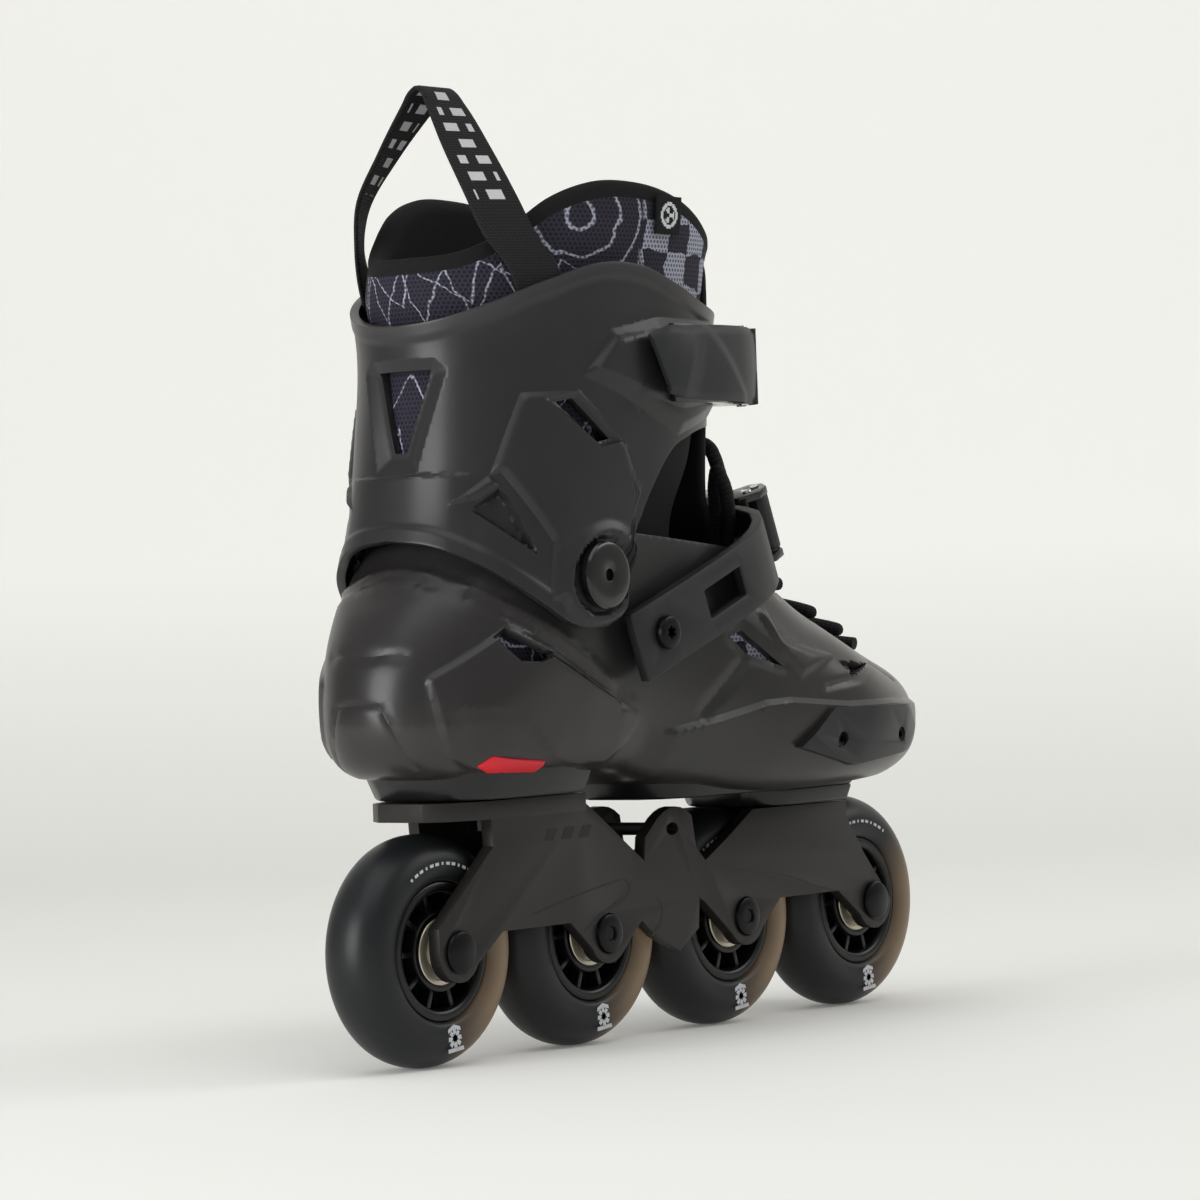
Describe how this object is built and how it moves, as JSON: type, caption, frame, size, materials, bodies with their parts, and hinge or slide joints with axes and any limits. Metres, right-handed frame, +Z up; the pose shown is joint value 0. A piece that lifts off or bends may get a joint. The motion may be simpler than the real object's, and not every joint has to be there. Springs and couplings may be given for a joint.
{
  "type": "inline skate",
  "caption": "Right-foot inline skate: hard shell boot with hinged cuff, padded liner, lever buckles, and a metal frame carrying wheels in a line.",
  "frame": {"origin": "on the floor, below the middle of the wheelbase, in the wheels' centre plane", "axes": "+X to the toe, +Z up, -Y to the outer side of the foot"},
  "size_m": [0.307, 0.1106, 0.3208],
  "materials": {
    "frame": "satin powder coat",
    "tyre": "smoky polyurethane, glossy",
    "hub": "moulded nylon",
    "bearing": "shielded bearing",
    "fastener": "black oxide",
    "bright_steel": "bright",
    "shell": "smoked moulded plastic",
    "red_rubber": "moulded red",
    "slider": "hard plastic",
    "liner": "honeycomb mesh with white print",
    "footbed": "foam with cloth face",
    "webbing": "ribbed woven webbing",
    "strap": "moulded strap",
    "buckle": "polished nylon"
  },
  "bodies": {
    "boot": {"shell": "shell", "frame": "frame", "mount_bolt_rear": "fastener", "mount_bolt_front": "fastener", "shock_absorber": "red_rubber", "slider_outer": "slider", "slider_inner": "slider", "liner_foot": "liner", "footbed": "footbed", "cuff_bolt_outer": "buckle", "cuff_bolt_inner": "buckle", "cuff_nut_outer": "bright_steel", "cuff_nut_inner": "bright_steel", "lace": "webbing", "instep_strap_outer": "strap", "instep_strap_screw_outer": "fastener", "instep_ladder_strap": "strap", "instep_strap_screw_inner": "fastener", "instep_buckle_body": "buckle", "instep_buckle_pin": "bright_steel", "spacer_rear": "bright_steel", "axle_rear": "fastener", "axle_screw_rear": "fastener", "spacer_mid_rear": "bright_steel", "axle_mid_rear": "fastener", "axle_screw_mid_rear": "fastener", "spacer_mid_front": "bright_steel", "axle_mid_front": "fastener", "axle_screw_mid_front": "fastener", "spacer_front": "bright_steel", "axle_front": "fastener", "axle_screw_front": "fastener"},
    "wheel_rear": {"tyre_rear": "tyre", "hub_rear": "hub", "bearing_outer_rear": "bearing", "bearing_inner_rear": "bearing"},
    "wheel_mid_rear": {"tyre_mid_rear": "tyre", "hub_mid_rear": "hub", "bearing_outer_mid_rear": "bearing", "bearing_inner_mid_rear": "bearing"},
    "wheel_mid_front": {"tyre_mid_front": "tyre", "hub_mid_front": "hub", "bearing_outer_mid_front": "bearing", "bearing_inner_mid_front": "bearing"},
    "wheel_front": {"tyre_front": "tyre", "hub_front": "hub", "bearing_outer_front": "bearing", "bearing_inner_front": "bearing"},
    "cuff": {"cuff": "shell", "liner_collar": "liner", "pull_strap": "webbing", "cuff_ladder_strap": "strap", "cuff_buckle_base": "buckle", "cuff_buckle_pin": "bright_steel"},
    "cuff_lever": {"cuff_buckle_lever": "strap"},
    "instep_lever": {"instep_buckle_lever": "strap"}
  },
  "joints": [
    {"name": "wheel_rear_spin", "type": "hinge", "parent": "boot", "child": "wheel_rear", "pos_m": [-0.1155, 0, 0.038], "axis": [0, 1, 0], "continuous": true},
    {"name": "wheel_mid_rear_spin", "type": "hinge", "parent": "boot", "child": "wheel_mid_rear", "pos_m": [-0.0385, 0, 0.038], "axis": [0, 1, 0], "continuous": true},
    {"name": "wheel_mid_front_spin", "type": "hinge", "parent": "boot", "child": "wheel_mid_front", "pos_m": [0.0385, 0, 0.038], "axis": [0, 1, 0], "continuous": true},
    {"name": "wheel_front_spin", "type": "hinge", "parent": "boot", "child": "wheel_front", "pos_m": [0.1155, 0, 0.038], "axis": [0, 1, 0], "continuous": true},
    {"name": "cuff_flex", "type": "hinge", "parent": "boot", "child": "cuff", "pos_m": [-0.071, 0, 0.158], "axis": [0, 1, 0], "range_deg": [0, 12]},
    {"name": "cuff_lever_open", "type": "hinge", "parent": "cuff", "child": "cuff_lever", "pos_m": [0.021, -0.0365, 0.228], "axis": [0, 0, 1], "range_deg": [0, 75]},
    {"name": "instep_lever_open", "type": "hinge", "parent": "boot", "child": "instep_lever", "pos_m": [0.05416, -0.0195, 0.17541], "axis": [-0.3584, 0, 0.9336], "range_deg": [-80, 0]}
  ]
}
